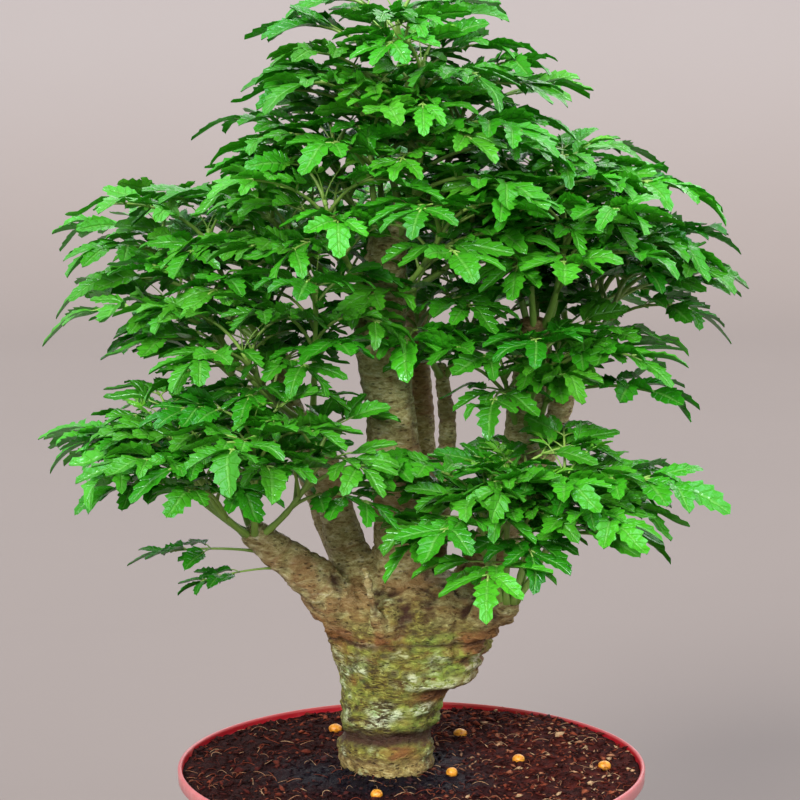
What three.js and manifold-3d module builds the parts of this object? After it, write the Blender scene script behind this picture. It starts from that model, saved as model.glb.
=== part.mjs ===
// Potted ming aralia: a ringed, swollen stump with upright limbs and leafy green shoots, in a red plastic pot.
// Millimetres, +Z up. The origin is the centre of the pot's foot, on the surface that it stands on.
// +X is to the viewer's right, and the front of the plant faces -Y.
import * as THREE from "three";
import { mergeVertices } from "three/addons/utils/BufferGeometryUtils.js";
import Module from "manifold-3d";

const wasm = await Module();
wasm.setup();

// ---- Driving dimensions ----
const GAP = 0.35; // clearance kept between two pieces that touch

const POT_HEIGHT = 120;
const POT_FOOT_RADIUS = 59;
const POT_RIM_RADIUS = 82.5;
const POT_WALL = 1.6;
const LIP_WIDTH = 3.6;
const LIP_DROP = 5;
const POT_SIDES = 40;
const DRAIN_HOLE_RADIUS = 2.5;
const DRAIN_HOLE_COUNT = 6;
const DRAIN_RING_RADIUS = 42;

const SOIL_EDGE_Z = 116; // where the soil meets the pot's wall
const SOIL_MOUND = 1.6; // how much higher the soil is around the stump
const PELLET_RADIUS = 2.1;

const STUMP_SIDES = 22;
const LIMB_SIDES = 8;
const ROOT_COUNT = 5;

const SHOOT_RADIUS = 1.4;
const SHOOT_SIDES = 4;
const LEAF_LENGTH = 59; // from the shoot to the tip of the end leaflet
const LEAF_SHARES = [1, 0.88, 0.76, 0.64]; // lengths tried for a leaf that has something in its way
const LEAF_SWINGS = [0, 12, -12, 24, -24, 36, -36]; // turns tried for it, in degrees
const GOLDEN_ANGLE = 137.5;

// ---- Materials ----
const MATERIALS = {
  pot: new THREE.MeshStandardMaterial({ color: 0xc23a42, roughness: 0.45, metalness: 0 }),
  soil: new THREE.MeshStandardMaterial({ color: 0x3a2420, roughness: 1, metalness: 0 }),
  bark: new THREE.MeshStandardMaterial({ color: 0x8a8050, roughness: 0.9, metalness: 0 }),
  leaf: new THREE.MeshStandardMaterial({ color: 0x2f8a24, roughness: 0.4, metalness: 0 }),
  pellet: new THREE.MeshStandardMaterial({ color: 0xd98a1c, roughness: 0.5, metalness: 0 }),
};

// ---- Small helpers ----
const vector = (x, y, z) => new THREE.Vector3(x, y, z);
const radians = THREE.MathUtils.degToRad;
const mix = THREE.MathUtils.lerp;

// A repeatable number from 0 to 1 that is spread evenly over k.
function spread(k, salt) {
  const value = k * 0.6180339887 + salt * 0.7548776662;
  return value - Math.floor(value);
}

// The unit vector at this azimuth round +Z, risen this far above the horizon.
function heading(azimuth, rise) {
  const a = radians(azimuth);
  const r = radians(rise);
  return vector(Math.cos(r) * Math.cos(a), Math.cos(r) * Math.sin(a), Math.sin(r));
}

// A closed body through rings of points. The first and the last ring hold one point each.
function loft(rings) {
  const positions = [];
  const index = [];
  const starts = rings.map((ring) => {
    const start = positions.length / 3;
    ring.forEach((p) => positions.push(p.x, p.y, p.z));
    return start;
  });
  for (let k = 0; k + 1 < rings.length; k++) {
    const [a, b] = [starts[k], starts[k + 1]];
    const [countA, countB] = [rings[k].length, rings[k + 1].length];
    const sides = Math.max(countA, countB);
    for (let j = 0; j < sides; j++) {
      const next = (j + 1) % sides;
      if (countA === 1) index.push(a, b + next, b + j);
      else if (countB === 1) index.push(a + j, a + next, b);
      else index.push(a + j, a + next, b + next, a + j, b + next, b + j);
    }
  }
  const geometry = new THREE.BufferGeometry();
  geometry.setAttribute("position", new THREE.Float32BufferAttribute(positions, 3));
  geometry.setIndex(index);
  return geometry;
}

// A closed three.js geometry as a manifold-3d solid.
function solid(geometry) {
  const bare = geometry.clone();
  bare.deleteAttribute("normal");
  bare.deleteAttribute("uv");
  const merged = mergeVertices(bare, 1e-4);
  const mesh = new wasm.Mesh({
    numProp: 3,
    vertProperties: merged.attributes.position.array,
    triVerts: new Uint32Array(merged.index.array),
  });
  return new wasm.Manifold(mesh);
}

// A manifold-3d solid as a named three.js mesh.
function namedMesh(name, body, material) {
  const mesh = body.getMesh();
  const geometry = new THREE.BufferGeometry();
  geometry.setAttribute("position", new THREE.BufferAttribute(mesh.vertProperties, 3));
  geometry.setIndex(new THREE.BufferAttribute(mesh.triVerts, 1));
  geometry.computeVertexNormals();
  const made = new THREE.Mesh(geometry, material);
  made.name = name;
  return made;
}

// A round tube of changing radius along centres, with blunt ends. grow makes it fatter all over.
function taperedTube(centres, radii, sides, grow = 0) {
  const tangents = centres.map((_, i) => {
    const before = centres[Math.max(i - 1, 0)];
    const after = centres[Math.min(i + 1, centres.length - 1)];
    return after.clone().sub(before).normalize();
  });
  let across = vector(1, 0, 0);
  if (Math.abs(tangents[0].x) > 0.9) across = vector(0, 1, 0);
  const rings = centres.map((centre, i) => {
    across = across.clone().addScaledVector(tangents[i], -across.dot(tangents[i])).normalize();
    const along = tangents[i].clone().cross(across);
    return Array.from({ length: sides }, (_, j) => {
      const angle = (2 * Math.PI * j) / sides;
      return centre
        .clone()
        .addScaledVector(across, (radii[i] + grow) * Math.cos(angle))
        .addScaledVector(along, (radii[i] + grow) * Math.sin(angle));
    });
  });
  const last = centres.length - 1;
  const start = centres[0].clone().addScaledVector(tangents[0], -grow);
  const end = centres[last].clone().addScaledVector(tangents[last], radii[last] * 0.25 + grow);
  return loft([[start], ...rings, [end]]);
}

// ---- Pot ----
// Radius of the pot's outer wall at a height, under the lip.
function potRadius(z) {
  return mix(POT_FOOT_RADIUS, POT_RIM_RADIUS - LIP_WIDTH, z / POT_HEIGHT);
}

function potBody() {
  const lipZ = POT_HEIGHT - LIP_DROP;
  const profile = [
    [0, 0],
    [POT_FOOT_RADIUS - 3, 0],
    [POT_FOOT_RADIUS, 2.5],
    [potRadius(lipZ), lipZ],
    [POT_RIM_RADIUS - 0.5, lipZ],
    [POT_RIM_RADIUS, POT_HEIGHT - 1],
    [POT_RIM_RADIUS - 1, POT_HEIGHT],
    [POT_RIM_RADIUS - LIP_WIDTH - POT_WALL + 1, POT_HEIGHT],
    [potRadius(POT_HEIGHT) - POT_WALL, POT_HEIGHT - 1.2],
    [potRadius(3) - POT_WALL, 3 + POT_WALL],
    [potRadius(0) - POT_WALL - 3, POT_WALL],
    [0, POT_WALL],
  ].map(([r, z]) => new THREE.Vector2(r, z));
  const shell = solid(new THREE.LatheGeometry(profile, POT_SIDES).rotateX(Math.PI / 2));
  const drill = new THREE.CylinderGeometry(DRAIN_HOLE_RADIUS, DRAIN_HOLE_RADIUS, 4 * POT_WALL, 10);
  drill.rotateX(Math.PI / 2);
  let body = shell;
  for (let i = 0; i < DRAIN_HOLE_COUNT; i++) {
    const at = heading((360 * i) / DRAIN_HOLE_COUNT + 30, 0).multiplyScalar(DRAIN_RING_RADIUS);
    body = body.subtract(solid(drill.clone().translate(at.x, at.y, 0)));
  }
  return body;
}

// ---- Trunk: the stump, its limbs and its roots, grown as one piece ----
// Each level of the stump: height, centre x, centre y, radius across, radius front to back.
const STUMP_LEVELS = [
  [96, -8, 0, 11, 11],
  [104, -8, 0, 15.5, 15],
  [113, -8, 0, 15.6, 15],
  [118, -8.3, 0, 16.6, 16],
  [124, -8.8, 0, 17.6, 17],
  [129, -8.8, 0, 17.2, 16.6],
  [131.5, -8.4, 0, 16.2, 15.6],
  [134.5, -8.2, 0, 17.4, 16.6],
  [140, -7.6, 0, 17.8, 17],
  [146, -6.4, 0.5, 18.8, 17.6],
  [149, -2.6, 1, 22.6, 18.6],
  [154, -1.6, 1.5, 24.6, 20],
  [160, -1.2, 2, 27, 21.5],
  [166, -1.2, 3, 29.4, 23.5],
  [171, -1, 4, 30.8, 25],
  [177, -0.6, 5, 30.4, 25.5],
  [182, -0.4, 6, 25, 22],
  [186, -0.4, 6, 15, 14],
];

// Each limb: its stations from the stump outwards, as x, y, z and radius.
const LIMBS = {
  centre: [
    [-3, 4, 165, 13],
    [-4, 2, 188, 10.6],
    [-4, 0, 205, 9.8],
    [-5, 0, 222, 9.3],
    [-8, 0, 249, 9.2],
    [-11, 0, 274, 9.1],
    [-10, 0, 292, 8.4],
    [-8, 0, 306, 7.2],
  ],
  centre_spur: [
    [-9, 0, 296, 4.6],
    [-4, -1, 309, 4.6],
    [-2, -1, 319, 4],
  ],
  right: [
    [16, 8, 164, 11],
    [27, 11, 190, 8.6],
    [33, 12, 206, 7.8],
    [38, 12, 226, 7.4],
    [41, 12, 250, 7.1],
    [44, 12, 276, 6.4],
  ],
  right_back: [
    [14, 16, 168, 9],
    [33, 27, 196, 6.5],
    [44, 33, 214, 5.4],
    [53, 38, 238, 4.7],
    [58, 41, 260, 4.2],
  ],
  right_low: [
    [10, -4, 165, 11],
    [23, -11, 175, 8.6],
    [33, -17, 183, 6.8],
  ],
  left: [
    [-10, 0, 162, 13],
    [-22, -5, 175, 10.4],
    [-34, -8, 188, 8.2],
    [-46, -10, 198, 6.6],
    [-56, -12, 206, 5.2],
  ],
  left_inner: [
    [-10, 3, 166, 11],
    [-19, 4, 184, 8.5],
    [-25, 7, 203, 7],
    [-31, 11, 224, 6],
    [-36, 14, 243, 5],
  ],
  left_back: [
    [-10, 14, 168, 9],
    [-26, 25, 196, 6.6],
    [-37, 31, 222, 5.6],
    [-45, 35, 246, 5],
    [-50, 38, 266, 4.4],
  ],
  middle: [
    [6, 10, 172, 6],
    [9, 16, 196, 4.4],
    [12, 22, 214, 3.8],
    [13, 27, 238, 3.4],
    [10, 31, 258, 3],
  ],
  back: [
    [0, 18, 168, 9],
    [3, 34, 194, 6.5],
    [4, 45, 220, 5.6],
    [3, 52, 250, 5],
    [2, 56, 274, 4.4],
  ],
  front_twig: [
    [-10, -18, 170, 2.4],
    [-13, -24, 182, 1.9],
    [-16, -26, 196, 1.2],
  ],
};

function stumpBody(grow) {
  const rings = STUMP_LEVELS.map(([z, x, y, across, deep]) =>
    Array.from({ length: STUMP_SIDES }, (_, j) => {
      const angle = (2 * Math.PI * j) / STUMP_SIDES;
      const lumps = 0.35 * Math.sin(3 * angle + z * 0.11) + 0.3 * Math.sin(5 * angle - z * 0.17);
      return vector(
        x + (across + lumps + grow) * Math.cos(angle),
        y + (deep + lumps + grow) * Math.sin(angle),
        z,
      );
    }),
  );
  const [lowZ, lowX, lowY] = STUMP_LEVELS[0];
  const [highZ, highX, highY] = STUMP_LEVELS[STUMP_LEVELS.length - 1];
  const bottom = vector(lowX, lowY, lowZ - 6 - grow);
  const top = vector(highX, highY, highZ + 2 + grow);
  return solid(loft([[bottom], ...rings, [top]]));
}

function limbBody(stations, grow) {
  const centres = stations.map(([x, y, z]) => vector(x, y, z));
  const radii = stations.map((station) => station[3]);
  return solid(taperedTube(centres, radii, LIMB_SIDES, grow));
}

// Thick roots that splay out and down under the soil.
function rootBody(i, grow) {
  const azimuth = 20 + (360 * i) / ROOT_COUNT;
  const out = heading(azimuth, 0);
  const centres = [4, 16, 27, 36].map((reach, k) =>
    vector(-8 + out.x * reach, out.y * reach, 103 - k * 3 - reach * 0.45),
  );
  return solid(taperedTube(centres, [6, 4.6, 3, 1.6], 8, grow));
}

function trunkBody(grow = 0) {
  let body = stumpBody(grow);
  for (const stations of Object.values(LIMBS)) body = body.add(limbBody(stations, grow));
  for (let i = 0; i < ROOT_COUNT; i++) body = body.add(rootBody(i, grow));
  return body;
}

// ---- Soil ----
// Height of the soil's surface at a place, with shallow waves.
function soilHeight(x, y) {
  const reach = Math.hypot(x, y) / POT_RIM_RADIUS;
  const mound = SOIL_MOUND * (1 - reach * reach);
  const heap = 2.2 * Math.exp(-((x - 52) ** 2 + (y - 38) ** 2) / 900);
  const waves = 0.5 * Math.sin(x * 0.13 + 1) * Math.cos(y * 0.15) + 0.35 * Math.sin(x * 0.31 - y * 0.23);
  return SOIL_EDGE_Z + mound + heap * (1 - reach ** 6) + waves * (1 - reach ** 8);
}

function soilBody(trunkClearance) {
  const wallInside = (z) => potRadius(z) - POT_WALL - GAP;
  const ring = (radius, height) =>
    Array.from({ length: POT_SIDES }, (_, j) => {
      const at = heading((360 * j) / POT_SIDES, 0).multiplyScalar(radius);
      return vector(at.x, at.y, height ?? soilHeight(at.x, at.y));
    });
  const edge = wallInside(SOIL_EDGE_Z) - 0.6;
  const rings = [
    ring(POT_FOOT_RADIUS - POT_WALL - 4.2, POT_WALL + GAP),
    ring(wallInside(6) - 0.6, 6),
    ring(edge, SOIL_EDGE_Z - 1.5),
    ring(edge - 1.5, undefined),
    ...[0.82, 0.62, 0.42, 0.22].map((share) => ring(edge * share, undefined)),
  ];
  const bottom = vector(0, 0, POT_WALL + GAP);
  const top = vector(0, 0, soilHeight(0, 0));
  return solid(loft([[bottom], ...rings, [top]])).subtract(trunkClearance);
}

// ---- Fertiliser pellets on the soil ----
const PELLET_PLACES = [
  [-28, 46],
  [-12, -36],
  [68, -2],
  [38, 4],
  [14, -14],
  [18, 36],
];

function pelletBody([x, y], i) {
  const geometry = new THREE.IcosahedronGeometry(PELLET_RADIUS, 1);
  geometry.scale(1 + 0.3 * spread(i, 1), 1, 0.85);
  geometry.rotateZ(radians(70 * i));
  return solid(geometry.translate(x, y, soilHeight(x, y) + PELLET_RADIUS + 0.5));
}

// ---- Shoots ----
// Each whorl of shoots: the limb, how far up it, how many shoots, the first azimuth and the sweep over which they
// are spread, their rise above the horizon, their length, and the leaves on each.
const WHORLS = [
  { limb: "centre", at: 0.98, count: 5, azimuth: 170, sweep: 360, rise: 70, length: 46, leaves: 8 },
  { limb: "centre_spur", at: 0.95, count: 3, azimuth: 300, sweep: 360, rise: 82, length: 58, leaves: 8 },
  { limb: "centre", at: 0.8, count: 4, azimuth: 160, sweep: 300, rise: 44, length: 42, leaves: 8 },
  { limb: "right", at: 0.97, count: 6, azimuth: 250, sweep: 300, rise: 72, length: 50, leaves: 8 },
  { limb: "right", at: 0.7, count: 3, azimuth: 235, sweep: 130, rise: 66, length: 27, leaves: 7 },
  { limb: "right_back", at: 0.96, count: 4, azimuth: 320, sweep: 180, rise: 64, length: 36, leaves: 7 },
  { limb: "right_low", at: 0.95, count: 6, azimuth: 215, sweep: 180, rise: 74, length: 40, leaves: 7 },
  { limb: "left", at: 0.95, count: 6, azimuth: 110, sweep: 250, rise: 46, length: 45, leaves: 8 },
  { limb: "left_inner", at: 0.95, count: 4, azimuth: 150, sweep: 170, rise: 40, length: 58, leaves: 8 },
  { limb: "left_back", at: 0.96, count: 4, azimuth: 110, sweep: 210, rise: 50, length: 48, leaves: 7 },
  { limb: "middle", at: 0.95, count: 2, azimuth: 250, sweep: 180, rise: 60, length: 36, leaves: 7 },
  { limb: "back", at: 0.96, count: 4, azimuth: 20, sweep: 190, rise: 50, length: 46, leaves: 7 },
];

// The point and radius a share of the way along a limb.
function alongLimb(stations, share) {
  const place = share * (stations.length - 1);
  const k = Math.min(Math.floor(place), stations.length - 2);
  const t = place - k;
  const values = stations[k].map((value, i) => mix(value, stations[k + 1][i], t));
  return { centre: vector(values[0], values[1], values[2]), radius: values[3] };
}

// Where a shoot runs: a curve that leaves its limb sideways and turns upwards.
function shootCurve(whorl, i, k) {
  const { centre, radius } = alongLimb(LIMBS[whorl.limb], whorl.at);
  const azimuth = whorl.azimuth + (whorl.sweep * i) / whorl.count + 12 * (spread(k, 2) - 0.5);
  const rise = whorl.rise + 28 * (spread(k, 3) - 0.5);
  const length = whorl.length * mix(0.75, 1.2, spread(k, 4));
  const base = centre.clone().addScaledVector(heading(azimuth, 0), radius * 0.55);
  const bend = base.clone().addScaledVector(heading(azimuth, rise - 12), length * 0.55);
  const tip = bend.clone().addScaledVector(heading(azimuth, rise + 18), length * 0.5);
  return { curve: new THREE.QuadraticBezierCurve3(base, bend, tip), azimuth };
}

// Each leaf of a shoot: where it starts, its azimuth, its rise there, and its length.
function leafPlan(whorl, shoot, k, j) {
  const share = mix(0.38, 0.99, (j + 0.5) / whorl.leaves);
  const start = shoot.curve.getPoint(share);
  const turn = shoot.azimuth + GOLDEN_ANGLE * j + 40 * spread(k, 5);
  const outward = radians(turn - shoot.azimuth);
  const azimuth = turn - 26 * Math.sin(outward); // leaves lean round towards the light, away from the trunk
  const facing = Math.cos(outward);
  const rise = mix(62, 38, 0.5 + 0.5 * facing) + 30 * (spread(k * 7 + j, 6) - 0.5) + 12 * share;
  const size = mix(0.78, 1, 0.5 + 0.5 * facing) * mix(0.88, 1.08, spread(k * 7 + j, 7));
  return { start, azimuth, rise, droop: -6 - 26 * spread(k * 7 + j, 8), length: LEAF_LENGTH * size };
}

// A leaf as a closed sliver round its arched midrib: a thin stalk, then a blade that narrows to its tip.
const LEAF_STATIONS = [
  { at: 0.4, half: 0.012, thick: 0.012 },
  { at: 0.64, half: 0.23, thick: 0.01 },
];

function leafBody(plan, grow) {
  const bend = plan.start.clone().addScaledVector(heading(plan.azimuth, plan.rise), plan.length * 0.46);
  const tip = bend.clone().addScaledVector(heading(plan.azimuth, plan.droop), plan.length * 0.56);
  const curve = new THREE.QuadraticBezierCurve3(plan.start, bend, tip);
  const side = heading(plan.azimuth + 90, 0);
  const foot = { at: 0, half: 0.8 / plan.length, thick: 0.8 / plan.length };
  const rings = [foot, ...LEAF_STATIONS].map(({ at, half, thick }) => {
    const centre = curve.getPoint(at);
    const up = curve.getTangent(at).cross(side);
    const wide = half * plan.length + grow;
    const high = thick * plan.length + grow;
    return [
      centre.clone().addScaledVector(side, -wide),
      centre.clone().addScaledVector(up, -high),
      centre.clone().addScaledVector(side, wide),
    ];
  });
  const end = curve.getPoint(1).addScaledVector(curve.getTangent(1), grow);
  return solid(loft([[plan.start.clone()], ...rings, [end]]));
}

// The leaf as planned, or swung aside or shorter until it clears everything in its way.
function clearLeaf(plan, inTheWay) {
  for (const share of LEAF_SHARES) {
    for (const swing of LEAF_SWINGS) {
      const tried = { ...plan, azimuth: plan.azimuth + swing, length: plan.length * share };
      const body = leafBody(tried, 0);
      if (!inTheWay.some((other) => overlap(body, other))) return tried;
    }
  }
  return undefined;
}

function stemBody(shoot, grow) {
  const centres = shoot.curve.getPoints(3);
  const radii = centres.map((_, n) => SHOOT_RADIUS * mix(1.1, 0.7, n / (centres.length - 1)));
  return solid(taperedTube(centres, radii, SHOOT_SIDES, grow));
}

function overlap(body, other) {
  const [a, b] = [body.boundingBox(), other.boundingBox()];
  const apart = [0, 1, 2].some((n) => a.min[n] > b.max[n] || b.min[n] > a.max[n]);
  return !apart && body.intersect(other).volume() > 0;
}

// The biggest piece that is left of a body once the solids in its way are cut from it.
function cutPiece(body, inTheWay) {
  let left = body;
  for (const other of inTheWay) {
    if (overlap(left, other)) left = left.subtract(other);
  }
  return left.decompose().reduce((best, piece) => (piece.volume() > best.volume() ? piece : best));
}

// ---- Assembly ----
const plant = new THREE.Group();
plant.add(namedMesh("pot", potBody(), MATERIALS.pot));

const trunkClearance = trunkBody(GAP);
plant.add(namedMesh("soil", soilBody(trunkClearance), MATERIALS.soil));
plant.add(namedMesh("trunk", trunkBody(), MATERIALS.bark));

PELLET_PLACES.forEach((place, i) => {
  plant.add(namedMesh(`fertiliser_pellet_${i + 1}`, pelletBody(place, i), MATERIALS.pellet));
});

const shoots = [];
for (const whorl of WHORLS) {
  for (let i = 0; i < whorl.count; i++) {
    const shoot = shootCurve(whorl, i, shoots.length);
    const earlier = shoots.map((other) => other.clearance);
    shoot.body = cutPiece(stemBody(shoot, 0), [trunkClearance, ...earlier]);
    shoot.clearance = stemBody(shoot, GAP);
    shoot.plans = Array.from({ length: whorl.leaves }, (_, j) => leafPlan(whorl, shoot, shoots.length, j));
    shoots.push(shoot);
  }
}

// The outer leaves of all shoots are placed before the inner ones.
const leafClearances = [];
for (let j = Math.max(...WHORLS.map((whorl) => whorl.leaves)) - 1; j >= 0; j--) {
  for (const shoot of shoots) {
    if (!shoot.plans[j]) continue;
    const otherStems = shoots.filter((other) => other !== shoot).map((other) => other.clearance);
    const plan = clearLeaf(shoot.plans[j], [trunkClearance, ...otherStems, ...leafClearances]);
    if (!plan) continue;
    shoot.body = shoot.body.add(leafBody(plan, 0));
    leafClearances.push(leafBody(plan, GAP));
  }
}

shoots.forEach((shoot, k) => {
  const name = `shoot_${String(k + 1).padStart(2, "0")}`;
  plant.add(namedMesh(name, shoot.body, MATERIALS.leaf));
});

export default plant;
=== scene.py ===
import math

import bmesh
import bpy
import numpy as np
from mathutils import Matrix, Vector, noise


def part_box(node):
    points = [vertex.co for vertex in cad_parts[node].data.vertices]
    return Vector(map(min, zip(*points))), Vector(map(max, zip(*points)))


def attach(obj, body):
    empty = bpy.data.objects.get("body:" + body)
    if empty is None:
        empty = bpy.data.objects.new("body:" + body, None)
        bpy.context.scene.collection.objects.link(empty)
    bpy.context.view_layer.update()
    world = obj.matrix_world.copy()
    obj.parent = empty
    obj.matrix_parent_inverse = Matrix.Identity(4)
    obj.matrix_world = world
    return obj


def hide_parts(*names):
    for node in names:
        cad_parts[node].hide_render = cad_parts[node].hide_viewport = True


# Potted ming aralia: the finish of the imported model, for Blender 4.5.
# Lengths are millimetres, turned into metres where a mesh is made. The shoots' layout is the CAD part's own, so each
# shoot is drawn where its solid stands.

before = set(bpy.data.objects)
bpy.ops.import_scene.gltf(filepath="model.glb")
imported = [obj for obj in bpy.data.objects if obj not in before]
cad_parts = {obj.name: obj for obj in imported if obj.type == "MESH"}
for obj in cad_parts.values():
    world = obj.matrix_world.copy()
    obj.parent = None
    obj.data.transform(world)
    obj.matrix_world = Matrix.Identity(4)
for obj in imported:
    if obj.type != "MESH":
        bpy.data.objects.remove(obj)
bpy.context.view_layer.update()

MM = 0.001
GOLDEN_ANGLE = 137.5
rng = np.random.default_rng(11)

# ---- Sizes ----
POT_HEIGHT = 120
POT_FOOT_RADIUS = 59
POT_RIM_RADIUS = 82.5
POT_WALL = 1.6
LIP_WIDTH = 3.6
LIP_DROP = 5
DRAIN_HOLE_RADIUS, DRAIN_HOLE_COUNT, DRAIN_RING_RADIUS = 2.5, 6, 42
SOIL_EDGE_Z = 116
SOIL_MOUND = 1.6
STUMP_AXIS = (-8.0, 0.0)
STUMP_RADIUS = 15.5
PELLET_COUNT = 6
SHOOT_RADIUS = 1.4
LEAF_LENGTH = 59

# ---- Layout of the limbs and the shoots, as in the CAD part ----
# Each limb: its stations from the stump outwards, as x, y, z and radius.
LIMBS = {
    "centre": [
        (-3, 4, 165, 13),
        (-4, 2, 188, 10.6),
        (-4, 0, 205, 9.8),
        (-5, 0, 222, 9.3),
        (-8, 0, 249, 9.2),
        (-11, 0, 274, 9.1),
        (-10, 0, 292, 8.4),
        (-8, 0, 306, 7.2),
    ],
    "centre_spur": [(-9, 0, 296, 4.6), (-4, -1, 309, 4.6), (-2, -1, 319, 4)],
    "right": [
        (16, 8, 164, 11),
        (27, 11, 190, 8.6),
        (33, 12, 206, 7.8),
        (38, 12, 226, 7.4),
        (41, 12, 250, 7.1),
        (44, 12, 276, 6.4),
    ],
    "right_back": [
        (14, 16, 168, 9),
        (33, 27, 196, 6.5),
        (44, 33, 214, 5.4),
        (53, 38, 238, 4.7),
        (58, 41, 260, 4.2),
    ],
    "right_low": [(10, -4, 165, 11), (23, -11, 175, 8.6), (33, -17, 183, 6.8)],
    "left": [
        (-10, 0, 162, 13),
        (-22, -5, 175, 10.4),
        (-34, -8, 188, 8.2),
        (-46, -10, 198, 6.6),
        (-56, -12, 206, 5.2),
    ],
    "left_inner": [
        (-10, 3, 166, 11),
        (-19, 4, 184, 8.5),
        (-25, 7, 203, 7),
        (-31, 11, 224, 6),
        (-36, 14, 243, 5),
    ],
    "left_back": [
        (-10, 14, 168, 9),
        (-26, 25, 196, 6.6),
        (-37, 31, 222, 5.6),
        (-45, 35, 246, 5),
        (-50, 38, 266, 4.4),
    ],
    "middle": [(6, 10, 172, 6), (9, 16, 196, 4.4), (12, 22, 214, 3.8), (13, 27, 238, 3.4), (10, 31, 258, 3)],
    "back": [(0, 18, 168, 9), (3, 34, 194, 6.5), (4, 45, 220, 5.6), (3, 52, 250, 5), (2, 56, 274, 4.4)],
    "front_twig": [(-10, -18, 170, 2.4), (-13, -24, 182, 1.9), (-16, -26, 196, 1.2)],
}

# Each whorl of shoots: the limb, how far up it, how many shoots, the first azimuth and the sweep over which they
# are spread, their rise above the horizon, their length, and the leaves on each.
WHORLS = [
    ("centre", 0.98, 5, 170, 360, 70, 46, 8),
    ("centre_spur", 0.95, 3, 300, 360, 82, 58, 8),
    ("centre", 0.8, 4, 160, 300, 44, 42, 8),
    ("right", 0.97, 6, 250, 300, 72, 50, 8),
    ("right", 0.7, 3, 235, 130, 66, 27, 7),
    ("right_back", 0.96, 4, 320, 180, 64, 36, 7),
    ("right_low", 0.95, 6, 215, 180, 74, 40, 7),
    ("left", 0.95, 6, 110, 250, 46, 45, 8),
    ("left_inner", 0.95, 4, 150, 170, 40, 58, 8),
    ("left_back", 0.96, 4, 110, 210, 50, 48, 7),
    ("middle", 0.95, 2, 250, 180, 60, 36, 7),
    ("back", 0.96, 4, 20, 190, 50, 46, 7),
]


def spread(k, salt):
    """A repeatable number from 0 to 1 that is spread evenly over k."""
    value = k * 0.6180339887 + salt * 0.7548776662
    return value - math.floor(value)


def heading(azimuth, rise):
    """The unit vector at this azimuth round +Z, risen this far above the horizon, in degrees."""
    a, r = math.radians(azimuth), math.radians(rise)
    return np.array([math.cos(r) * math.cos(a), math.cos(r) * math.sin(a), math.sin(r)])


def mix(a, b, share):
    """The value that share of the way from a to b."""
    return a + (b - a) * share


def unit(v):
    """The vector at a length of one."""
    return v / np.linalg.norm(v)


def bell(value, middle, width):
    """1 where value is at the middle, falling to about a third at the width from it."""
    return np.exp(-(((value - middle) / width) ** 2))


def fade(value, low, high):
    """0 where value is low, 1 where it is high, and straight between them."""
    return np.clip((value - low) / (high - low), 0, 1)


class Bezier:
    """A quadratic curve through three control points."""

    def __init__(self, start, bend, tip):
        self.points = start, bend, tip

    def at(self, t):
        start, bend, tip = self.points
        return start * (1 - t) ** 2 + bend * 2 * t * (1 - t) + tip * t * t

    def along(self, t):
        start, bend, tip = self.points
        return unit((bend - start) * (1 - t) + (tip - bend) * t)


def along_limb(stations, share):
    """The point and the radius a share of the way along a limb."""
    place = share * (len(stations) - 1)
    k = min(int(place), len(stations) - 2)
    values = mix(np.array(stations[k], float), np.array(stations[k + 1], float), place - k)
    return values[:3], values[3]


def shoot_curve(whorl, i, k):
    """Where a shoot runs: a curve that leaves its limb sideways and turns upwards. Returns it and its azimuth."""
    limb, at, count, first, sweep, rise, length, _ = whorl
    centre, radius = along_limb(LIMBS[limb], at)
    azimuth = first + sweep * i / count + 12 * (spread(k, 2) - 0.5)
    rise = rise + 28 * (spread(k, 3) - 0.5)
    length = length * mix(0.75, 1.2, spread(k, 4))
    base = centre + heading(azimuth, 0) * radius * 0.55
    bend = base + heading(azimuth, rise - 12) * length * 0.55
    tip = bend + heading(azimuth, rise + 18) * length * 0.5
    return Bezier(base, bend, tip), azimuth


def leaf_plan(curve, shoot_azimuth, leaves, k, j):
    """Where leaf j of shoot k starts, its azimuth, its rise there, its droop at the tip and its length."""
    share = mix(0.38, 0.99, (j + 0.5) / leaves)
    turn = shoot_azimuth + GOLDEN_ANGLE * j + 40 * spread(k, 5)
    outward = math.radians(turn - shoot_azimuth)
    azimuth = turn - 26 * math.sin(outward)
    facing = math.cos(outward)
    rise = mix(62, 38, 0.5 + 0.5 * facing) + 30 * (spread(k * 7 + j, 6) - 0.5) + 12 * share
    size = mix(0.78, 1, 0.5 + 0.5 * facing) * mix(0.88, 1.08, spread(k * 7 + j, 7))
    return curve.at(share), azimuth, rise, -6 - 26 * spread(k * 7 + j, 8), LEAF_LENGTH * size


def soil_height(x, y):
    """Height of the soil's surface at a place, as in the CAD part."""
    reach = np.hypot(x, y) / POT_RIM_RADIUS
    mound = SOIL_MOUND * (1 - reach**2)
    heap = 2.2 * np.exp(-((x - 52) ** 2 + (y - 38) ** 2) / 900)
    waves = 0.5 * np.sin(x * 0.13 + 1) * np.cos(y * 0.15) + 0.35 * np.sin(x * 0.31 - y * 0.23)
    return SOIL_EDGE_Z + mound + heap * (1 - reach**6) + waves * (1 - reach**8)


def fractal(points, scale, octaves=3, stretch=(1, 1, 1), salt=0):
    """Smooth noise of about -1 to 1 at each point, at that many waves per millimetre."""
    moved = np.asarray(points, float) * np.array(stretch) * scale + 17.3 * salt
    return np.array([noise.fractal(Vector(p), 1.0, 2.0, octaves) for p in moved])


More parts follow.
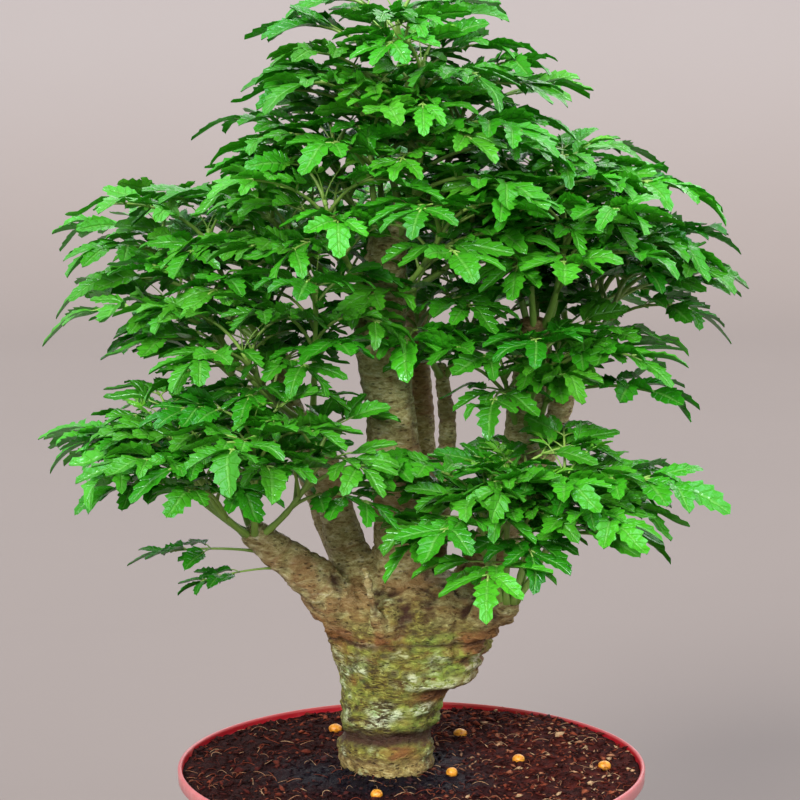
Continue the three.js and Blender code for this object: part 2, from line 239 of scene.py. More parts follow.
# ---- Meshes ----
class Body:
    """Points, faces and point values that grow into one mesh."""

    def __init__(self):
        self.points, self.quads, self.triangles = [], [], []
        self.values, self.count, self.finish = {}, 0, {4: [], 3: []}

    def add(self, points, quads=(), triangles=(), finish=0, **values):
        """Adds a closed form. finish picks its material. Each value is one number or one per point."""
        points = np.asarray(points, float).reshape(-1, 3)
        quads = np.asarray(quads, int).reshape(-1, 4)
        triangles = np.asarray(triangles, int).reshape(-1, 3)
        self.points.append(points)
        self.quads.append(quads + self.count)
        self.triangles.append(triangles + self.count)
        self.finish[4].append(np.full(len(quads), finish))
        self.finish[3].append(np.full(len(triangles), finish))
        for name, value in values.items():
            spread_out = np.broadcast_to(np.asarray(value, float).ravel(), (len(points),))
            self.values.setdefault(name, []).append(spread_out)
        self.count += len(points)

    def mesh(self, name):
        """The mesh so far, with its values as point attributes."""
        points = np.concatenate(self.points) * MM
        quads, triangles = np.concatenate(self.quads), np.concatenate(self.triangles)
        corners = np.concatenate([quads.ravel(), triangles.ravel()])
        sizes = np.concatenate([np.full(len(quads), 4), np.full(len(triangles), 3)])
        mesh = bpy.data.meshes.new(name)
        mesh.vertices.add(len(points))
        mesh.vertices.foreach_set("co", points.astype(np.float32).ravel())
        mesh.loops.add(len(corners))
        mesh.loops.foreach_set("vertex_index", corners.astype(np.int32))
        mesh.polygons.add(len(sizes))
        mesh.polygons.foreach_set("loop_start", np.concatenate([[0], np.cumsum(sizes)[:-1]]).astype(np.int32))
        mesh.polygons.foreach_set("material_index", np.concatenate(self.finish[4] + self.finish[3]).astype(np.int32))
        mesh.update(calc_edges=True)
        mesh.polygons.foreach_set("use_smooth", np.ones(len(sizes), bool))
        for value_name, parts in self.values.items():
            layer = mesh.attributes.new(value_name, "FLOAT", "POINT")
            layer.data.foreach_set("value", np.concatenate(parts).astype(np.float32))
        return mesh

    def piece(self, name, materials, node, slot, sharp=None):
        """The mesh as a piece that rides on the root body and stands for a CAD node."""
        mesh = self.mesh(name)
        if sharp:
            mark_sharp(mesh, sharp)
        return finished(name, mesh, materials, node)


def mark_sharp(mesh, name):
    """Keeps the shading apart across each edge between two points where the named value is over a half."""
    marked = np.zeros(len(mesh.vertices), np.float32)
    mesh.attributes[name].data.foreach_get("value", marked)
    ends = np.zeros(len(mesh.edges) * 2, np.int32)
    mesh.edges.foreach_get("vertices", ends)
    both = (marked[ends.reshape(-1, 2)] > 0.5).all(1)
    layer = mesh.attributes.new("sharp_edge", "BOOLEAN", "EDGE")
    layer.data.foreach_set("value", both)


def finished(name, mesh, materials, node):
    """An object of that mesh, with its materials and body, shown in place of its CAD node, which is hidden."""
    piece = bpy.data.objects.new(name, mesh)
    bpy.context.scene.collection.objects.link(piece)
    for material in materials:
        mesh.materials.append(material)
    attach(piece, "root")
    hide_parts(node)
    return piece


def closed_faces(rows, sides):
    """Quads and triangles of a closed form whose points are rings, one after another, and then its two ends."""
    j = np.arange(sides)
    n = (j + 1) % sides
    starts = np.arange(rows) * sides
    quads = [np.stack([low + j, low + n, high + n, high + j], 1) for low, high in zip(starts, starts[1:])]
    first, last = np.full(sides, rows * sides), np.full(sides, rows * sides + 1)
    caps = [np.stack([first, n, j], 1), np.stack([starts[-1] + j, starts[-1] + n, last], 1)]
    return np.concatenate(quads), np.concatenate(caps)


def band_faces(starts, sides):
    """Quads between rings of points, by where each ring starts. They face the other way from closed_faces'."""
    j = np.arange(sides)
    n = (j + 1) % sides
    return np.concatenate([np.stack([a + j, b + j, b + n, a + n], 1) for a, b in zip(starts, starts[1:])])


def tube(centres, radii, sides):
    """Points, quads and triangles of a closed round tube of changing radius along centres."""
    centres = np.asarray(centres, float)
    tangents = np.gradient(centres, axis=0)
    tangents /= np.linalg.norm(tangents, axis=1)[:, None]
    across = np.array([1.0, 0, 0]) if abs(tangents[0][0]) < 0.9 else np.array([0, 1.0, 0])
    angles = 2 * np.pi * np.arange(sides) / sides
    rings = []
    for centre, tangent, radius in zip(centres, tangents, radii):
        across = unit(across - tangent * (across @ tangent))
        up = np.cross(tangent, across)
        rings.append(centre + radius * (np.outer(np.cos(angles), across) + np.outer(np.sin(angles), up)))
    ends = [centres[0], centres[-1] + tangents[-1] * radii[-1] * 0.5]
    return np.concatenate([*rings, ends]), *closed_faces(len(rings), sides)


# ---- Materials ----
class Nodes:
    """A short way to write a material's node tree."""

    def __init__(self, name):
        self.material = bpy.data.materials.new(name)
        self.material.use_nodes = True
        self.tree = self.material.node_tree
        self.tree.nodes.clear()
        self.output = self.tree.nodes.new("ShaderNodeOutputMaterial")

    def new(self, kind, inputs=(), **settings):
        node = self.tree.nodes.new("ShaderNode" + kind)
        for name, value in settings.items():
            setattr(node, name, value)
        for name, value in dict(inputs).items():
            self.give(node.inputs[name], value)
        return node

    def give(self, socket, value):
        if isinstance(value, bpy.types.NodeSocket):
            self.tree.links.new(value, socket)
        elif isinstance(value, tuple) and len(value) == 3 and socket.type == "RGBA":
            socket.default_value = (*value, 1)
        else:
            socket.default_value = value

    def value(self, name):
        """A number that the mesh holds at each point."""
        return self.new("Attribute", attribute_name=name).outputs["Fac"]

    def place(self):
        return self.new("TexCoord").outputs["Object"]

    def stretched(self, scale):
        return self.new("Mapping", {"Vector": self.place(), "Scale": scale}).outputs["Vector"]

    def noise(self, scale, detail=4, rough=0.55, vector=None, distortion=0):
        """Noise from 0 to 1, with this many waves per metre."""
        inputs = {"Vector": vector or self.place(), "Scale": scale, "Detail": detail, "Roughness": rough}
        return self.new("TexNoise", {**inputs, "Distortion": distortion}).outputs["Fac"]

    def cells(self, scale, vector=None):
        """The distance to the nearest of scattered points, with this many of them to a metre."""
        inputs = {"Vector": vector or self.place(), "Scale": scale}
        return self.new("TexVoronoi", inputs).outputs["Distance"]

    def math(self, operation, a, b=0.0):
        node = self.new("Math", operation=operation)
        self.give(node.inputs[0], a)
        self.give(node.inputs[1], b)
        return node.outputs[0]

    def plus(self, a, b):
        return self.math("ADD", a, b)

    def minus(self, a, b):
        return self.math("SUBTRACT", a, b)

    def times(self, a, b):
        return self.math("MULTIPLY", a, b)

    def ramp(self, value, low, high):
        """0 where value is low, 1 where it is high, and smooth between them."""
        inputs = {"Value": value, "From Min": low, "From Max": high}
        return self.new("MapRange", inputs, interpolation_type="SMOOTHSTEP").outputs["Result"]

    def blend(self, share, a, b):
        """A mix of two colours. Its colour sockets share their names with others, so they go by number."""
        node = self.new("Mix", data_type="RGBA")
        self.give(node.inputs["Factor"], share)
        self.give(node.inputs[6], a)
        self.give(node.inputs[7], b)
        return node.outputs[2]

    def colours(self, value, stops):
        """A colour for each value, through stops of (place, colour)."""
        node = self.new("ValToRGB", {"Fac": value})
        ramp = node.color_ramp
        while len(ramp.elements) < len(stops):
            ramp.elements.new(0.5)
        for element, (at, colour) in zip(ramp.elements, stops):
            element.position = at
            element.color = (*colour, 1)
        return node.outputs["Color"]

    def bump(self, height, strength, depth):
        inputs = {"Height": height, "Strength": strength, "Distance": depth * MM}
        return self.new("Bump", inputs).outputs["Normal"]

    def shader(self, **inputs):
        return self.new("BsdfPrincipled", {k.replace("_", " "): v for k, v in inputs.items()}).outputs["BSDF"]

    def done(self, shader):
        self.tree.links.new(shader, self.output.inputs["Surface"])
        return self.material


def leaf_material():
    n = Nodes("Leaf_blade")
    across, along = n.value("across"), n.value("along")
    tint, young = n.value("tint"), n.value("young")
    side = n.math("ABSOLUTE", across)
    # Side veins run forward from the midrib, one to each tooth.
    slanted = n.minus(n.times(along, 5), n.times(side, 0.9))
    from_vein = n.math("ABSOLUTE", n.minus(n.math("FRACT", slanted), 0.5))
    vein = n.ramp(from_vein, 0.38, 0.5)
    midrib = n.ramp(side, 0.2, 0.04)
    patches = n.noise(120, 3)
    blisters = n.noise(330, 2, 0.5)
    deep = n.blend(patches, (0.010, 0.155, 0.003), (0.026, 0.29, 0.008))
    bright = n.blend(patches, (0.042, 0.41, 0.010), (0.095, 0.58, 0.022))
    base = n.blend(tint, deep, bright)
    base = n.blend(young, base, (0.24, 0.62, 0.05))
    base = n.blend(n.times(vein, 0.3), base, (0.12, 0.45, 0.05))
    base = n.blend(n.times(midrib, 0.5), base, (0.20, 0.56, 0.09))
    rough = n.plus(n.times(n.noise(900, 3), 0.16), 0.17)
    quilt = n.minus(n.times(blisters, 2.2), n.plus(n.times(vein, 0.7), midrib))
    normal = n.bump(quilt, 0.6, 0.8)
    leaf = n.shader(Base_Color=base, Roughness=rough, Normal=normal, IOR=1.6, Specular_Tint=(0.8, 0.93, 1.0, 1))
    glow = n.new("BsdfTranslucent", {"Color": n.blend(0.6, base, (0.20, 0.62, 0.03))}).outputs["BSDF"]
    both = n.new("MixShader", {"Fac": 0.3})
    n.give(both.inputs[1], leaf)
    n.give(both.inputs[2], glow)
    return n.done(both.outputs[0])


def stem_material():
    n = Nodes("Green_stem")
    young = n.value("young")
    streaks = n.noise(300, 4, vector=n.stretched((1, 1, 0.15)))
    green = n.blend(streaks, (0.13, 0.27, 0.035), (0.30, 0.48, 0.09))
    base = n.blend(young, green, (0.34, 0.62, 0.11))
    spots = n.ramp(n.cells(420), 0.16, 0.06)
    base = n.blend(n.times(spots, 0.4), base, (0.16, 0.10, 0.05))
    rough = n.plus(n.times(streaks, 0.3), 0.3)
    return n.done(n.shader(Base_Color=base, Roughness=rough, Normal=n.bump(streaks, 0.3, 0.4)))


def bark_material():
    n = Nodes("Bark")
    stump, crease_shade, scar = n.value("stump"), n.value("crease_shade"), n.value("scar")
    pale, straw, moss = n.value("pale"), n.value("straw"), n.value("moss")
    rust_and_under_shade, spots = n.value("rust_and_under_shade"), n.value("spots")
    rings = n.stretched((1, 1, 2.2))
    mottle = n.noise(330, 6, 0.68, rings, 0.5)
    blotch = n.noise(150, 4, 0.6, rings, 0.4)
    grain = n.noise(1300, 4, 0.65, rings)
    pits = n.ramp(n.cells(330, rings), 0.30, 0.10)
    # The stump: olive and lime, with whitish patches that are partly painted highlights, dark round mottles, moss,
    # rusty patches, and rust-brown painted shade under the ledge and on faces that point down.
    olive = (
        (0.32, (0.018, 0.010, 0.002)),
        (0.43, (0.085, 0.056, 0.008)),
        (0.55, (0.22, 0.19, 0.018)),
        (0.70, (0.56, 0.58, 0.14)),
    )
    dry = ((0.34, (0.12, 0.060, 0.016)), (0.52, (0.36, 0.25, 0.075)), (0.7, (0.66, 0.54, 0.27)))
    mossy = n.blend(mottle, (0.09, 0.17, 0.010), (0.56, 0.80, 0.12))
    pale_bark_and_highlight = n.blend(n.ramp(blotch, 0.4, 0.6), (0.26, 0.40, 0.13), (0.88, 0.98, 0.66))
    skin = n.blend(straw, n.colours(mottle, olive), n.colours(mottle, dry))
    skin = n.blend(n.times(moss, n.ramp(blotch, 0.36, 0.56)), skin, mossy)
    # Whitish patches: partly the bark's own pale tone, partly painted highlight.
    skin = n.blend(n.times(pale, n.ramp(mottle, 0.42, 0.56)), skin, pale_bark_and_highlight)
    dots = n.times(spots, n.ramp(n.cells(230), 0.42, 0.26))
    skin = n.blend(n.times(dots, 0.85), skin, n.blend(mottle, (0.022, 0.036, 0.018), (0.13, 0.17, 0.085)))
    # Rust-brown: the bark's own rusty patches, with painted shade under the ledge and on faces that point down.
    skin = n.blend(n.times(rust_and_under_shade, 0.9), skin, n.blend(mottle, (0.11, 0.028, 0.006), (0.52, 0.20, 0.045)))
    # The limbs: pale tan, with grey-green patches and brown scars.
    tan = (
        (0.30, (0.13, 0.070, 0.020)),
        (0.42, (0.42, 0.35, 0.12)),
        (0.55, (0.70, 0.65, 0.30)),
        (0.70, (0.92, 0.90, 0.62)),
    )
    grey_green = n.times(n.ramp(blotch, 0.48, 0.64), 0.4)
    wood = n.blend(grey_green, n.colours(mottle, tan), (0.25, 0.27, 0.085))
    wood = n.blend(n.times(scar, 0.75), wood, n.blend(mottle, (0.11, 0.034, 0.010), (0.50, 0.24, 0.08)))
    base = n.blend(stump, wood, skin)
    base = n.blend(n.times(pits, 0.5), base, (0.055, 0.034, 0.014))
    # Painted shade: near black in the bark's grooves, folds and hollows.
    base = n.blend(n.times(crease_shade, 0.95), base, n.blend(grain, (0.010, 0.003, 0.002), (0.090, 0.024, 0.010)))
    rough = n.plus(n.times(grain, 0.3), 0.42)
    relief = n.plus(mottle, n.times(grain, 0.4))
    relief = n.minus(relief, n.times(pits, 0.5))
    return n.done(n.shader(Base_Color=base, Roughness=rough, Normal=n.bump(relief, 1.0, 1.6)))


def soil_material():
    n = Nodes("Coco_peat")
    tint, wet = n.value("tint"), n.value("wet")
    speck = n.noise(1400, 4, 0.7)
    husk = (
        (0.0, (0.003, 0.0012, 0.0014)),
        (0.35, (0.015, 0.0028, 0.0028)),
        (0.6, (0.075, 0.011, 0.008)),
        (0.84, (0.28, 0.062, 0.028)),
        (1.0, (0.58, 0.38, 0.21)),
    )
    base = n.blend(n.times(n.ramp(speck, 0.35, 0.75), 0.5), n.colours(tint, husk), (0.085, 0.020, 0.016))
    base = n.blend(n.times(wet, 0.85), base, (0.004, 0.005, 0.010))
    rough = n.minus(0.85, n.times(wet, 0.35))
    normal = n.bump(speck, 0.9, 0.6)
    return n.done(n.shader(Base_Color=base, Roughness=rough, Normal=normal, Specular_IOR_Level=0.08))


def pot_material():
    n = Nodes("Red_plastic")
    outside = n.value("outside")
    streaks = n.noise(260, 4, 0.6, n.stretched((1, 1, 0.06)))
    dust = n.noise(90, 5, 0.6)
    # Inside the pot the plastic is painted a deeper, more saturated red than outside: painted light shining through the
    # thin wall.
    inner = n.blend(dust, (0.34, 0.006, 0.014), (0.50, 0.014, 0.028))
    outer = n.blend(streaks, (0.46, 0.10, 0.115), (0.64, 0.24, 0.235))
    base = n.blend(outside, inner, outer)
    base = n.blend(n.times(n.ramp(dust, 0.55, 0.8), 0.25), base, (0.62, 0.42, 0.38))
    rough = n.plus(n.times(dust, 0.25), 0.26)
    return n.done(n.shader(Base_Color=base, Roughness=rough, Normal=n.bump(streaks, 0.15, 0.5), Subsurface_Weight=0.08))


def pellet_material():
    n = Nodes("Resin_pellet")
    spots = n.noise(900, 4, 0.6)
    base = n.colours(spots, [(0.25, (0.30, 0.09, 0.008)), (0.5, (0.72, 0.26, 0.015)), (0.8, (0.92, 0.48, 0.06))])
    rough = n.plus(n.times(spots, 0.3), 0.25)
    return n.done(n.shader(Base_Color=base, Roughness=rough, Normal=n.bump(spots, 0.4, 0.4), Subsurface_Weight=0.1))


def backdrop_material():
    n = Nodes("Pale_backdrop")
    paper = n.noise(3, 5, 0.6)
    height = n.new("SeparateXYZ", {"Vector": n.place()}).outputs["Z"]
    base = n.blend(paper, (0.205, 0.167, 0.154), (0.218, 0.178, 0.164))
    base = n.blend(n.ramp(height, 0.0, 0.4), base, n.blend(paper, (0.236, 0.204, 0.197), (0.248, 0.215, 0.208)))
    return n.done(n.shader(Base_Color=base, Roughness=0.95, Normal=n.bump(n.noise(500, 3), 0.1, 0.4)))


# ---- Camera, light and floor ----
CAMERA_PLACE = (-0.00406, -0.9115, 0.390)  # metres
CAMERA_TILT = 81.23  # degrees from straight down
LENS, SENSOR = 120, 36
# The backdrop: how far out its flat floor runs, the radius of the curve beyond it, and its rows and sides.
FLOOR_REACH, BOWL_CURVE, BOWL_ROWS, BOWL_TURNS = 2100, 900, 16, 96


def stage_scene():
    """The camera, the daylight and the backdrop."""
    scene = bpy.context.scene
    data = bpy.data.cameras.new("Camera")
    data.lens, data.sensor_width = LENS, SENSOR
    data.clip_start, data.clip_end = 0.05, 60
    camera = bpy.data.objects.new("Camera", data)
    camera.location = CAMERA_PLACE
    camera.rotation_euler = (math.radians(CAMERA_TILT), 0, 0)
    scene.collection.objects.link(camera)
    scene.camera = camera
    scene.view_settings.view_transform = "Standard"

    world = bpy.data.worlds.new("Soft_daylight")
    scene.world = world
    world.use_nodes = True
    sky = world.node_tree.nodes["Background"]
    sky.inputs["Color"].default_value = (0.88, 0.90, 0.94, 1)
    sky.inputs["Strength"].default_value = 0.9
    # Each light: its name, where it shines from, its strength, how wide it is in degrees, and its colour.
    add_sun("Key", (-0.45, -1.0, 0.64), 3.7, 22, (1.0, 0.985, 0.95))
    add_sun("Fill", (0.8, -0.9, 0.55), 1.4, 40, (0.97, 0.98, 1.0))
    add_sun("Sky_light", (0.0, -0.25, 1.0), 1.8, 50, (0.78, 0.92, 1.0))
    add_sun("Back", (0.3, 1.0, 0.6), 0.8, 40, (1.0, 1.0, 1.0))
    build_backdrop()


def build_backdrop():
    """A seamless pale bowl: a flat floor that curves up into a wall all round, open at the top."""
    radii = [(0.4, 0), (80, 0), (400, 0), (1200, 0), (FLOOR_REACH, 0)]
    for k in range(1, BOWL_ROWS + 1):
        angle = math.radians(90 * k / BOWL_ROWS)
        radii.append((FLOOR_REACH + BOWL_CURVE * math.sin(angle), BOWL_CURVE * (1 - math.cos(angle))))
    angles = 2 * np.pi * np.arange(BOWL_TURNS) / BOWL_TURNS
    points = [(r * math.cos(a), r * math.sin(a), z) for r, z in radii for a in angles]
    quads = band_faces(np.arange(len(radii)) * BOWL_TURNS, BOWL_TURNS)
    mesh = bpy.data.meshes.new("Backdrop")
    mesh.from_pydata([tuple(c * MM for c in p) for p in points], [], quads.tolist())
    mesh.polygons.foreach_set("use_smooth", np.ones(len(mesh.polygons), bool))
    mesh.materials.append(backdrop_material())
    backdrop = bpy.data.objects.new("Backdrop", mesh)
    bpy.context.scene.collection.objects.link(backdrop)


def add_sun(name, place, strength, width, colour):
    """A distant light that shines from a place towards the plant."""
    data = bpy.data.lights.new(name, "SUN")
    data.energy, data.angle, data.color = strength, math.radians(width), colour
    light = bpy.data.objects.new(name, data)
    light.location = place
    light.rotation_euler = Vector(place).to_track_quat("Z", "Y").to_euler()
    bpy.context.scene.collection.objects.link(light)


# ---- Pot ----
POT_TURNS = 168
COLLAR_INSIDE = 80.9
COLLAR_FLOOR = 116.6
FLOOR_UNDER, FLOOR_TOP = 1.1, 2.6


def pot_radius(z):
    """Radius of the pot's outer wall at a height, under the lip."""
    return mix(POT_FOOT_RADIUS, POT_RIM_RADIUS - LIP_WIDTH, z / POT_HEIGHT)


def inner_radius(z):
    """Radius of the pot's inner wall at a height, under the collar."""
    return pot_radius(z) - POT_WALL


def build_pot():
    """A thin moulded pot: a foot ring, a plain wall and a rolled lip."""
    lip_z = POT_HEIGHT - LIP_DROP
    lip = []
    for share in np.linspace(0, 1, 9):
        angle = math.pi * share
        lip.append((POT_RIM_RADIUS - 0.8 + 0.8 * math.cos(angle), POT_HEIGHT - 1.0 + math.sin(angle), 1 - share))
    wall = [(pot_radius(z), z, 1) for z in (3.2, *range(12, 109, 12), lip_z - 0.6)]
    # Each point of the profile: its radius, its height, and 1 on the outside or 0 on the inside.
    profile = [
        (0.4, FLOOR_UNDER, 1),
        (40, FLOOR_UNDER, 1),
        (POT_FOOT_RADIUS - 6, 1.0, 1),
        (POT_FOOT_RADIUS - 5, 0.0, 1),
        (POT_FOOT_RADIUS - 1.6, 0.0, 1),
        (POT_FOOT_RADIUS - 0.3, 0.8, 1),
        *wall,
        (pot_radius(lip_z) + 0.3, lip_z, 1),
        (POT_RIM_RADIUS - 0.7, lip_z + 0.1, 1),
        (POT_RIM_RADIUS - 0.2, lip_z + 0.7, 1),
        *lip,
        (COLLAR_INSIDE, POT_HEIGHT - 1.9, 0),
        (COLLAR_INSIDE, COLLAR_FLOOR, 0),
        *[(inner_radius(z), z, 0) for z in (COLLAR_FLOOR - 0.7, 112, 100, 80, 50, 20, 5)],
        (inner_radius(3) - 2, 2.8, 0),
        (0.4, FLOOR_TOP, 0),
    ]
    angles = 2 * np.pi * np.arange(POT_TURNS) / POT_TURNS
    # A thin pot isn't quite round: its wall drifts in and out, and most at the rim.
    wobble = 0.28 * np.sin(2 * angles + 0.6) + 0.16 * np.sin(5 * angles) - 0.3
    points, outside = [], []
    for radius, z, out in profile:
        r = radius + wobble * (z / POT_HEIGHT) ** 3
        points.append(np.stack([r * np.cos(angles), r * np.sin(angles), np.full(POT_TURNS, float(z))], 1))
        outside.append(np.full(POT_TURNS, float(out)))
    points = np.concatenate(points + [[(0, 0, FLOOR_UNDER)], [(0, 0, FLOOR_TOP)]])
    outside = np.concatenate(outside + [[1], [0]])
    body = Body()
    body.add(points, *closed_faces(len(profile), POT_TURNS), outside=outside)
    drill_drain_holes(body.piece("Pot", [pot_material()], "pot", "pot"))


def drill_drain_holes(pot):
    """Cuts the drain holes through the pot's floor."""
    drills = Body()
    for k in range(DRAIN_HOLE_COUNT):
        at = heading(360 * k / DRAIN_HOLE_COUNT + 30, 0) * DRAIN_RING_RADIUS
        ends = [at + np.array([0, 0, z]) for z in (-4.0, 0.0, 4.0)]
        drills.add(*tube(ends, [DRAIN_HOLE_RADIUS] * 3, 24), outside=1.0)
    cutter = bpy.data.objects.new("drills", drills.mesh("drills"))
    bpy.context.scene.collection.objects.link(cutter)
    cut = pot.modifiers.new("Drain_holes", "BOOLEAN")
    cut.operation, cut.solver, cut.object = "DIFFERENCE", "EXACT", cutter
    drilled = bpy.data.meshes.new_from_object(pot.evaluated_get(bpy.context.evaluated_depsgraph_get()))
    pot.modifiers.remove(cut)
    pot.data = drilled
    bpy.data.objects.remove(cutter)


# ---- Soil ----
SOIL_TURNS, SOIL_ROWS = 300, 54
SOIL_RAISED = 1.5  # the crumbs stand this far above the solid
SOIL_GAP = 0.25  # between the soil and the collar
CHIP_COUNT, FIBRE_COUNT = 5400, 520
# Each wet patch: its place in the plan and how wide it is.
WET_PLACES = ((-30, -10, 13), (12, -20, 10), (-10, -24, 12), (10, 8, 8))


def wetness(x, y):
    """How wet the soil is: most in patches close round the stump."""
    return np.clip(sum(np.exp(-((x - a) ** 2 + (y - b) ** 2) / (2 * s * s)) for a, b, s in WET_PLACES), 0, 1)


def husk_tone(x):
    """How pale the husk is: redder and drier towards +X."""
    return 0.29 + 0.13 * np.clip(x / 45, -1, 1)


def soil_surface(points):
    """Heights of the crumbly surface over points in the plan."""
    flat = np.column_stack([points, np.zeros(len(points))])
    crumbs = 0.9 * fractal(flat, 0.16, 4) + 0.45 * fractal(flat, 0.55, 3, salt=2)
    heap = 1.6 * np.exp(-((points[:, 0] - 45) ** 2 + (points[:, 1] - 52) ** 2) / 500)
    return soil_height(points[:, 0], points[:, 1]) + crumbs + SOIL_RAISED + heap


def build_soil():
    """The soil: a crumbly top, sides clear of the pot and a hollow under the stump, with chips and fibres on it."""
    wall = COLLAR_INSIDE - SOIL_GAP
    angles = 2 * np.pi * np.arange(SOIL_TURNS) / SOIL_TURNS
    ring = np.stack([np.cos(angles), np.sin(angles)], 1)
    shares = np.linspace(0, 1, SOIL_ROWS)
    inside = np.array(STUMP_AXIS) + ring * (STUMP_RADIUS - 2.5)
    plan = np.concatenate([mix(inside, ring * wall, share) for share in shares])
    top = np.column_stack([plan, soil_surface(plan)])

    def rings(profile, centre=(0, 0)):
        """A ring of points for each radius and height."""
        return [np.column_stack([np.array(centre) + ring * r, np.full(SOIL_TURNS, z)]) for r, z in profile]

    shoulder = [(wall, COLLAR_FLOOR + 0.25), (77.0, COLLAR_FLOOR - 0.2)]
    outer = rings(shoulder + [(inner_radius(z) - 0.4, z) for z in (100.0, 40.0, 6.0)])
    under = rings([(52.0, 3.0), (10.0, 3.0)])
    hollow = rings([(10.0, 84.0), (12.6, 112.0)], STUMP_AXIS)
    points = np.concatenate([top, *outer, *under, *hollow])
    quads = band_faces([*range(0, len(points), SOIL_TURNS), 0], SOIL_TURNS)
    body = Body()
    tint = husk_tone(points[:, 0]) + 0.30 * fractal(points, 0.35, 3, salt=5)
    body.add(points, quads, tint=np.clip(tint, 0.02, 0.7), wet=wetness(points[:, 0], points[:, 1]))
    add_chips(body, CHIP_COUNT, wall)
    add_fibres(body, FIBRE_COUNT, wall)
    body.piece("Soil", [soil_material()], "soil", "soil")


def on_soil(count, wall):
    """Random places on the soil, away from the stump, with their heights."""
    r = wall * np.sqrt(rng.uniform(0, 0.985, count))
    a = rng.uniform(0, 2 * np.pi, count)
    plan = np.stack([r * np.cos(a), r * np.sin(a)], 1)
    plan = plan[np.linalg.norm(plan - np.array(STUMP_AXIS), axis=1) > STUMP_RADIUS + 0.6]
    return np.column_stack([plan, soil_surface(plan)])


# A chip: six points round its edge, one on top and one under it.
CHIP = np.array(
    [(-1, 0, 0), (-0.35, 1, 0.1), (-0.3, -0.9, 0), (0.4, 0.8, 0), (0.3, -1, 0.15), (1, 0.1, 0)]
    + [(0, 0.1, 1), (0.05, 0, -0.8)]
)
CHIP_FACES = np.array(
    [(0, 2, 6), (2, 4, 6), (4, 5, 6), (5, 3, 6), (3, 1, 6), (1, 0, 6)]
    + [(2, 0, 7), (4, 2, 7), (5, 4, 7), (3, 5, 7), (1, 3, 7), (0, 1, 7)]
)


def add_chips(body, count, wall):
    """Chips and crumbs of coconut husk, lying flat or tipped up a little."""
    places = on_soil(count, wall)
    count = len(places)
    long = np.exp(rng.normal(0.0, 0.45, count)) * 0.92
    wide = long * rng.uniform(0.25, 0.7, count)
    thick = wide * rng.uniform(0.35, 0.8, count)
    turn = rng.uniform(0, 2 * np.pi, count)
    tip = rng.normal(0, 0.35, count)
    x = np.stack([np.cos(turn) * np.cos(tip), np.sin(turn) * np.cos(tip), np.sin(tip)], 1)
    y = np.stack([-np.sin(turn), np.cos(turn), rng.normal(0, 0.25, count)], 1)
    z = np.cross(x, y)
    form = CHIP[None] + rng.normal(0, 0.13, (count, *CHIP.shape))
    points = places[:, None] + (
        form[..., :1] * (long[:, None] * x)[:, None]
        + form[..., 1:2] * (wide[:, None] * y)[:, None]
        + form[..., 2:] * (thick[:, None] * z)[:, None]
    )
    points[..., 2] += 0.35
    faces = CHIP_FACES[None] + (np.arange(count) * len(CHIP))[:, None, None]
    shade = np.clip(rng.beta(1.2, 1.7, count) + husk_tone(places[:, 0]) - 0.28, 0, 1)
    tint = np.repeat(shade, len(CHIP))
    wet = np.repeat(wetness(places[:, 0], places[:, 1]), len(CHIP))
    body.add(points, (), faces, tint=tint, wet=wet)


def add_fibres(body, count, wall):
    """Pale husk fibres that curl over the surface."""
    for x, y, z in on_soil(count, wall):
        length = rng.uniform(3, 9)
        turn, curl = rng.uniform(0, 2 * np.pi), rng.normal(0, 1.3)
        steps = np.linspace(0, 1, 6)
        angles = turn + curl * steps
        plan = np.cumsum(np.stack([np.cos(angles), np.sin(angles)], 1), 0) * length / 6
        rise = 0.5 + rng.uniform(0.2, 1.2) * np.sin(np.pi * steps)
        centres = np.column_stack([x + plan[:, 0], y + plan[:, 1], z + rise])
        keep = np.hypot(centres[:, 0], centres[:, 1]) < wall - 0.4
        if keep.sum() < 4:
            continue
        points, quads, triangles = tube(centres[keep], np.full(keep.sum(), rng.uniform(0.07, 0.14)), 3)
        body.add(points, quads, triangles, tint=rng.uniform(0.6, 1.0), wet=0.0)


# ---- Fertiliser pellets ----
def build_pellets():
    """Each pellet: a slightly flattened and dimpled bead, where its solid lies."""
    finish = pellet_material()
    for i in range(1, PELLET_COUNT + 1):
        node = f"fertiliser_pellet_{i}"
        low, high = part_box(node)
        middle = (low + high) / 2
        mesh = bpy.data.meshes.new(f"Pellet_{i}")
        bm = bmesh.new()
        bmesh.ops.create_icosphere(bm, subdivisions=4, radius=1)
        size = (high - low) / 2 * 0.99
        for vertex in bm.verts:
            at = vertex.co.copy()
            dent = 1 + 0.035 * noise.fractal(at * 1.4 + Vector((i, 0, 0)), 1, 2, 3) - 0.02
            vertex.co = Vector(at[k] * dent * size[k] for k in range(3)) + middle
        for face in bm.faces:
            face.smooth = True
        bm.to_mesh(mesh)
        bm.free()
        finished(f"Pellet_{i}", mesh, [finish], node)


# ---- Trunk ----
TRUNK_VOXEL, QUICK_VOXEL = 1.05, 1.6
# The worn grooves round the stump: each one's height, width and depth.
STUMP_GROOVES = ((131.5, 2.5, 1.7), (123.5, 0.8, 0.6), (139, 0.9, 0.5), (166.5, 0.9, 1.1), (171, 0.7, 0.6))


def distance_to_limbs(points):
    """For each point: the nearest limb's name index, how far along it in millimetres, and how far out in radii."""
    best = np.full(len(points), np.inf)
    along, which = np.zeros(len(points)), np.zeros(len(points), int)
    for index, stations in enumerate(LIMBS.values()):
        walked = 0.0
        for (ax, ay, az, ar), (bx, by, bz, br) in zip(stations, stations[1:]):
            a, b = np.array([ax, ay, az], float), np.array([bx, by, bz], float)
            length = np.linalg.norm(b - a)
            share = np.clip((points - a) @ (b - a) / length**2, 0, 1)
            out = np.linalg.norm(points - (a + share[:, None] * (b - a)), axis=1) / mix(ar, br, share)
            nearer = out < best
            best[nearer], which[nearer] = out[nearer], index
            along[nearer] = (walked + share * length)[nearer]
            walked += length
    return which, along, best


